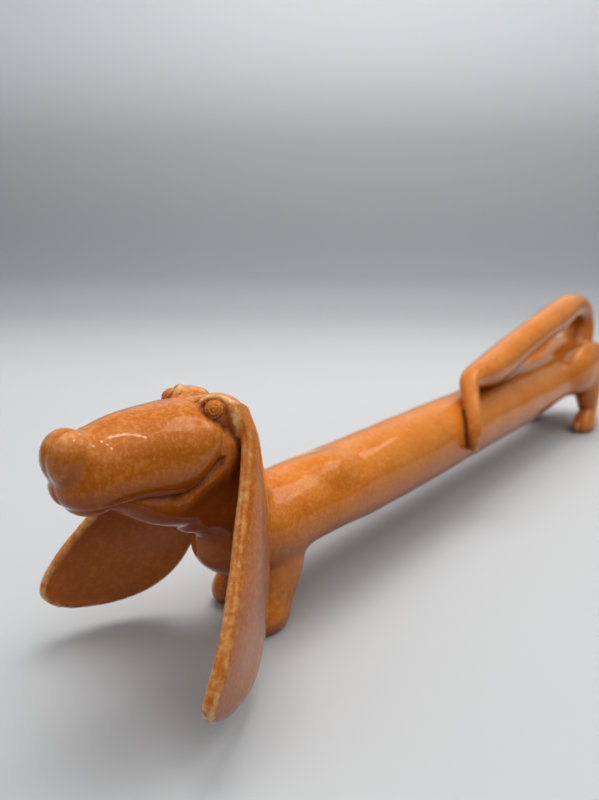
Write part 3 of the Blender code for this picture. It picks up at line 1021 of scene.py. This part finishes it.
def border_loops(faces):
    """Loops of points round the open border of some faces, in the order of the border's edges."""
    sides = face_sides(faces)
    forward = np.where(sides[:, 0] < sides[:, 1], 1, -1)
    sides, owner = np.unique(np.sort(sides, axis=1), axis=0, return_inverse=True)
    surplus = np.bincount(owner.ravel(), forward, len(sides)).astype(int)
    open_sides = np.concatenate([sides[surplus > 0], sides[surplus < 0][:, ::-1]])
    times = np.concatenate([surplus[surplus > 0], -surplus[surplus < 0]])
    open_sides = np.repeat(open_sides, times, axis=0)
    following = {}
    for a, b in open_sides.tolist():
        following.setdefault(a, []).append(b)
    loops = []
    while following:
        start = next(iter(following))
        loop = [start]
        while True:
            here = loop[-1]
            onward = following[here].pop()
            if not following[here]:
                del following[here]
            if onward == start:
                break
            loop.append(onward)
        loops.append(loop)
    return loops


def closed_piece(points, normals, faces, extra):
    """The faces as a closed solid: each open border is turned inwards and filled behind."""
    used, compact = np.unique(faces, return_inverse=True)
    faces = compact.reshape(faces.shape)
    spots, directions = points[used], normals[used]
    extra = [values[used] for values in extra]
    polygons = [tuple(face) for face in faces.tolist()]
    new_spots, new_directions, sources = [], [], []
    total = len(spots)
    for loop in border_loops(faces):
        inner = spots[loop] - directions[loop] * RIM_DEPTH
        centre = inner.mean(0) - directions[loop].mean(0) * RIM_DEPTH * 2
        first = total
        count = len(loop)
        new_spots += [inner, centre[None]]
        new_directions += [directions[loop], directions[loop].mean(0)[None] + 1e-4]
        sources += loop + [loop[0]]
        total += count + 1
        for i in range(count):
            j = (i + 1) % count
            polygons.append((loop[j], loop[i], first + i, first + j))
            polygons.append((first + j, first + i, first + count))
    if new_spots:
        spots = np.concatenate([spots] + new_spots)
        directions = np.concatenate([directions] + new_directions)
        extra = [np.concatenate([values, values[sources]]) for values in extra]
    return spots, directions, polygons, extra


def mesh_from(name, spots, directions, polygons, attributes):
    mesh = bpy.data.meshes.new(name)
    mesh.from_pydata((spots / MM).tolist(), [], polygons)
    directions = directions / np.maximum(length(directions), 1e-6)[:, None]
    normals = mesh.attributes.new("custom_normal", "FLOAT_VECTOR", "POINT")
    normals.data.foreach_set("vector", directions.astype(np.float32).ravel())
    for key, values in attributes.items():
        layer = mesh.attributes.new(key, "FLOAT", "POINT")
        layer.data.foreach_set("value", values.astype(np.float32))
    mesh.update()
    return mesh


BOX_MARGIN = 6
UNDER_FLOOR = 3
FINE_BEHIND_HEAD = 60
FINE_BEFORE_HAUNCH = 50


def sculpt():
    """The fine surface, shared out among the CAD nodes: {node: mesh}."""
    low, high = [np.array(corner) * MM for corner in CAD_BOUNDS]
    low, high = low - BOX_MARGIN, high + BOX_MARGIN
    low[2] = -UNDER_FLOOR
    fine_to = HEAD[1] + FINE_BEHIND_HEAD
    fine_from = middle("haunch_left")[1] - FINE_BEFORE_HAUNCH
    axes = [
        even_lines(low[0], high[0]),
        grid_lines(low[1], high[1], fine_to, fine_from),
        even_lines(low[2], high[2]),
    ]
    axes = [whole_blocks(lines) for lines in axes]
    points, faces = surface_net(sampled_grid(axes), axes)
    points, normals = settle(points)
    fine, broad = bending(points, normals, faces)
    pairs = neighbour_faces(faces)
    labels = nearest_part(points[faces].mean(1))
    labels = drop_islands(tidy_labels(labels, pairs), pairs)
    meshes = {}
    for label in np.unique(labels):
        name = NAMES[label]
        piece = closed_piece(points, normals, faces[labels == label], [fine, broad])
        spots, directions, polygons, extra = piece
        attributes = {"fine_bend": extra[0], "broad_bend": extra[1]}
        meshes[name] = mesh_from(name, spots, directions, polygons, attributes)
    return meshes


# ---------------------------------------- glaze


class Nodes:
    """Short ways to add shader nodes to a material."""

    def __init__(self, owner):
        owner.use_nodes = True
        self.tree = owner.node_tree
        self.tree.nodes.clear()

    def add(self, kind, settings=None, **inputs):
        node = self.tree.nodes.new(kind)
        for key, value in (settings or {}).items():
            setattr(node, key, value)
        for key, value in inputs.items():
            self.feed(node.inputs[key.replace("_", " ")], value)
        return node

    def feed(self, socket, value):
        if isinstance(value, bpy.types.NodeSocket):
            self.tree.links.new(value, socket)
        else:
            socket.default_value = value

    def math(self, operation, a, b=0.0, clamp=False):
        node = self.add("ShaderNodeMath", {"operation": operation, "use_clamp": clamp})
        self.feed(node.inputs[0], a)
        self.feed(node.inputs[1], b)
        return node.outputs[0]

    def noise(self, place, scale, detail, roughness=0.5):
        node = self.add("ShaderNodeTexNoise", Vector=place, Scale=scale, Detail=detail, Roughness=roughness)
        return node.outputs["Fac"]

    def between(self, value, low, high):
        """value stretched so that low becomes 0 and high becomes 1."""
        node = self.add("ShaderNodeMapRange", {"interpolation_type": "SMOOTHSTEP"}, Value=value)
        node.inputs["From Min"].default_value = low
        node.inputs["From Max"].default_value = high
        return node.outputs["Result"]

    def mix(self, share, a, b):
        node = self.add("ShaderNodeMix", {"data_type": "RGBA"})
        self.feed(node.inputs[0], share)
        self.feed(node.inputs[6], a)
        self.feed(node.inputs[7], b)
        return node.outputs[2]

    def attribute(self, name):
        return self.add("ShaderNodeAttribute", {"attribute_name": name}).outputs["Fac"]


ORANGE = (0.70, 0.205, 0.014, 1)
WARM = (0.80, 0.29, 0.040, 1)
# A darker orange mixed into the face's glaze: painted shade on the face.
FACE_PAINTED_SHADE = (0.52, 0.130, 0.006, 1)
# A dark orange for surfaces that face down or sideways: painted shade.
DOWNWARD_PAINTED_SHADE = (0.31, 0.062, 0.001, 1)
AMBER = (0.17, 0.028, 0.001, 1)
CREAM = (0.90, 0.60, 0.28, 1)
FLECK = (0.86, 0.40, 0.10, 1)


# Scales of the glaze's noises, finest first.
GRAIN, SPECK, SWELL, CLOUD = 900.0, 420.0, 95.0, 38.0
FLECKS = 0.38
FACE_TO, BODY_FROM = -0.190, -0.110  # along the body, in metres: the face is painted darker, as shade, and the body's sides get less painted shade


def glaze(name, base, thinness):
    """Glossy glaze: flecked on flat clay, with painted shade where it faces down and on the face, dark
    where it pools, pale where it breaks.
    """
    material = bpy.data.materials.new(name)
    nodes = Nodes(material)
    place = nodes.add("ShaderNodeTexCoord").outputs["Object"]
    fine, broad = nodes.attribute("fine_bend"), nodes.attribute("broad_bend")
    cloud = nodes.noise(place, CLOUD, 3.0)
    grain = nodes.noise(place, GRAIN, 2.0, 0.7)
    speck = nodes.noise(place, SPECK, 3.0, 0.6)
    along = nodes.add("ShaderNodeSeparateXYZ", Vector=place).outputs["Y"]
    behind = nodes.between(along, FACE_TO, BODY_FROM)
    thin = nodes.mix(nodes.between(cloud, 0.25, 0.85), base, WARM)
    # Painted shade: the face's glaze is mixed towards a darker orange, and the body's is not.
    colour = nodes.mix(behind, nodes.mix(0.45, thin, FACE_PAINTED_SHADE), thin)
    for pattern in (grain, speck):
        flecks = nodes.math("MULTIPLY", nodes.between(pattern, 0.48, 0.66), FLECKS)
        colour = nodes.mix(flecks, colour, FLECK)
    # Painted shade and light: surfaces that face down or sideways are painted darker and those facing up
    # lighter, with a noisy border. The body's sides get less of this painted shade than the face.
    normal = nodes.add("ShaderNodeNewGeometry").outputs["Normal"]
    up = nodes.add("ShaderNodeSeparateXYZ", Vector=normal).outputs["Z"]
    painted_light_from_above = nodes.math("ADD", up, nodes.math("MULTIPLY", nodes.math("SUBTRACT", cloud, 0.5), 0.4))
    painted_light_from_above = nodes.math("ADD", painted_light_from_above, nodes.math("MULTIPLY", behind, 0.30))
    colour = nodes.mix(nodes.between(painted_light_from_above, -0.75, 0.80), DOWNWARD_PAINTED_SHADE, colour)
    wobble = nodes.math("MULTIPLY", nodes.math("SUBTRACT", speck, 0.5), 0.22)
    rim = nodes.between(nodes.math("ADD", broad, wobble), 0.13 - thinness, 0.36 - thinness)
    rim = nodes.math("MULTIPLY", rim, nodes.between(speck, 0.25, 0.55), clamp=True)
    colour = nodes.mix(nodes.math("MULTIPLY", rim, 0.85), colour, CREAM)
    pool = nodes.between(nodes.math("MULTIPLY", fine, -1.0), 0.05, 0.55)
    colour = nodes.mix(nodes.math("MULTIPLY", pool, 0.85), colour, AMBER)
    wide_pool = nodes.between(nodes.math("MULTIPLY", broad, -1.0), 0.02, 0.20)
    colour = nodes.mix(nodes.math("MULTIPLY", wide_pool, 0.45), colour, AMBER)
    swell = nodes.noise(place, SWELL, 2.0)
    bump = nodes.add("ShaderNodeBump", Strength=0.12, Distance=0.0006, Height=swell)
    pits = nodes.add(
        "ShaderNodeBump", Strength=0.10, Distance=0.00012, Height=grain, Normal=bump.outputs[0]
    )
    shader = nodes.add("ShaderNodeBsdfPrincipled", Base_Color=colour, Roughness=0.35, IOR=1.5)
    nodes.feed(shader.inputs["Normal"], pits.outputs[0])
    shader.inputs["Specular IOR Level"].default_value = 0.05
    shader.inputs["Coat Weight"].default_value = 1.0
    shader.inputs["Coat Roughness"].default_value = 0.02
    shader.inputs["Coat IOR"].default_value = 1.45
    nodes.feed(shader.inputs["Coat Normal"], bump.outputs[0])
    output = nodes.add("ShaderNodeOutputMaterial")
    nodes.tree.links.new(shader.outputs[0], output.inputs[0])
    return material


# A piece's slot in the record, its base colour and how far the glaze has thinned on it.
PLAIN_FINISH = ("orange_glaze", ORANGE, 0.0)
EYE_FINISH = ("pale_glaze", ORANGE, -0.16)
BROW_FINISH = ("pale_glaze", WARM, 0.12)
LID_FINISH = ("orange_glaze", WARM, 0.12)
FINISHES = {
    "nose": ("pale_glaze", WARM, 0.04),
    "eye_left": EYE_FINISH,
    "eye_right": EYE_FINISH,
    "eyelid_left": LID_FINISH,
    "eyelid_right": LID_FINISH,
    "brow_left": BROW_FINISH,
    "brow_right": BROW_FINISH,
}


def dress(meshes):
    """One object for each mesh, standing for its CAD node."""
    glazes = {}
    for name, mesh in meshes.items():
        finish = FINISHES.get(name, PLAIN_FINISH)
        if finish not in glazes:
            glazes[finish] = glaze(*finish)
        piece = bpy.data.objects.new("glazed_" + name, mesh)
        bpy.context.scene.collection.objects.link(piece)
        mesh.materials.append(glazes[finish])
        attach(piece, "root")
        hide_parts(name)


# ---------------------------------------- studio


FLOOR_GREY = (0.61, 0.615, 0.61, 1)
# Painted shade on the back of the floor and at the foot of the wall, and painted light at the top of the
# wall.
FLOOR_BACK_PAINTED_SHADE = (0.46, 0.47, 0.47, 1)
WALL_FOOT_PAINTED_SHADE = (0.38, 0.385, 0.39, 1)
WALL_TOP_PAINTED_LIGHT = (0.92, 0.925, 0.93, 1)


def grey_paper(name, roughness):
    """Pale paper with painted shade at the foot of its upright part, painted light above it, and painted
    shade on the floor towards the wall.
    """
    material = bpy.data.materials.new(name)
    nodes = Nodes(material)
    place = nodes.add("ShaderNodeTexCoord").outputs["Object"]
    axes = nodes.add("ShaderNodeSeparateXYZ", Vector=place)
    reach, height = axes.outputs["Y"], axes.outputs["Z"]
    # Painted shade: the wall is darker at its foot and lighter above, and the floor darkens towards the
    # wall.
    wall = nodes.mix(nodes.between(height, 0.08, 0.55), WALL_FOOT_PAINTED_SHADE, WALL_TOP_PAINTED_LIGHT)
    floor = nodes.mix(nodes.between(reach, 0.20, 0.80), FLOOR_GREY, FLOOR_BACK_PAINTED_SHADE)
    tint = nodes.mix(nodes.between(height, 0.0, 0.05), floor, wall)
    shader = nodes.add("ShaderNodeBsdfPrincipled", Base_Color=tint, Roughness=roughness)
    shader.inputs["Specular IOR Level"].default_value = 0.3
    output = nodes.add("ShaderNodeOutputMaterial")
    nodes.tree.links.new(shader.outputs[0], output.inputs[0])
    return material


FLOOR_HALF_WIDTH = 6.0
FLOOR_FRONT = -4.0
SWEEP_START = 0.74
SWEEP_RADIUS = 0.30
SWEEP_PARTS = 24
WALL_HEIGHT = 2.2


def make_sweep():
    """A plain floor that curves up into a wall behind the dog, square to the camera's heading."""
    profile = [(FLOOR_FRONT, 0.0), (SWEEP_START, 0.0)]
    for i in range(1, SWEEP_PARTS + 1):
        angle = math.radians(90 * i / SWEEP_PARTS)
        reach = SWEEP_START + SWEEP_RADIUS * math.sin(angle)
        profile.append((reach, SWEEP_RADIUS * (1 - math.cos(angle))))
    profile.append((SWEEP_START + SWEEP_RADIUS, WALL_HEIGHT))
    spots, faces = [], []
    for reach, height in profile:
        spots += [(-FLOOR_HALF_WIDTH, reach, height), (FLOOR_HALF_WIDTH, reach, height)]
    for i in range(len(profile) - 1):
        faces.append((2 * i, 2 * i + 1, 2 * i + 3, 2 * i + 2))
    mesh = bpy.data.meshes.new("sweep")
    mesh.from_pydata(spots, [], faces)
    mesh.shade_smooth()
    sweep = bpy.data.objects.new("sweep", mesh)
    bpy.context.scene.collection.objects.link(sweep)
    sweep.rotation_euler = (0, 0, HEADING)
    mesh.materials.append(grey_paper("grey_paper", 0.6))


def area_light(name, place, target, size, power, in_gloss=True):
    """A soft light that shines on target. In_gloss says whether glossy surfaces show it."""
    light = bpy.data.lights.new(name, "AREA")
    light.shape = "RECTANGLE"
    light.size, light.size_y = size
    light.energy = power
    lamp = bpy.data.objects.new(name, light)
    bpy.context.scene.collection.objects.link(lamp)
    lamp.location = place
    lamp.visible_glossy = in_gloss
    lamp.rotation_euler = (Vector(target) - Vector(place)).to_track_quat("-Z", "Y").to_euler()


def make_lights():
    area_light("key", (-0.28, 0.24, 1.2), (0, -0.05, 0), (0.7, 0.65), 8.0, in_gloss=False)
    area_light("sheen", (0.40, 0.85, 1.20), (0, -0.1, 0), (0.9, 0.6), 2.9)
    area_light("streak", (0.35, 0.10, 1.30), (0.05, 0, 0), (0.04, 0.9), 1.2)


ROOM = (0.07, 0.07, 0.07, 1)
BACKDROP = (0.46, 0.47, 0.48, 1)
CEILING = (0.92, 0.95, 0.99, 1)


def make_world():
    """A dim room under a bright soft ceiling."""
    world = bpy.data.worlds.new("studio")
    bpy.context.scene.world = world
    nodes = Nodes(world)
    direction = nodes.add("ShaderNodeTexCoord").outputs["Generated"]
    up = nodes.add("ShaderNodeSeparateXYZ", Vector=direction).outputs["Z"]
    colour = nodes.mix(nodes.between(up, 0.10, 0.95), ROOM, CEILING)
    seen = nodes.add("ShaderNodeLightPath").outputs["Is Camera Ray"]
    colour = nodes.mix(seen, colour, BACKDROP)
    background = nodes.add("ShaderNodeBackground", Color=colour, Strength=1.0)
    output = nodes.add("ShaderNodeOutputWorld")
    nodes.tree.links.new(background.outputs[0], output.inputs[0])


CAMERA_PLACE = (0.1607, -0.3021, 0.1537)
HEADING = math.radians(41)
DROP = math.radians(16.1)
TILT = math.radians(0.3)
LENS = 28.8
F_STOP = 11.0
FOCUS_FROM_HEAD = (0.016, 0.012, 0.008)
GAMMA = 0.85


def make_camera():
    data = bpy.data.cameras.new("camera")
    data.lens = LENS
    data.sensor_width = 36
    data.sensor_fit = "AUTO"
    data.clip_start = 0.01
    data.clip_end = 50
    camera = bpy.data.objects.new("camera", data)
    bpy.context.scene.collection.objects.link(camera)
    turn = Matrix.Rotation(HEADING, 4, "Z") @ Matrix.Rotation(math.pi / 2 - DROP, 4, "X")
    camera.matrix_world = Matrix.Translation(CAMERA_PLACE) @ turn @ Matrix.Rotation(TILT, 4, "Z")
    focus = bpy.data.objects.new("focus", None)
    focus.location = Vector((HEAD / MM).tolist()) + Vector(FOCUS_FROM_HEAD)
    bpy.context.scene.collection.objects.link(focus)
    data.dof.use_dof = True
    data.dof.focus_object = focus
    data.dof.aperture_fstop = F_STOP
    bpy.context.scene.camera = camera


dress(sculpt())
make_sweep()
make_lights()
make_world()
make_camera()
bpy.context.scene.view_settings.view_transform = "Standard"
bpy.context.scene.view_settings.gamma = GAMMA
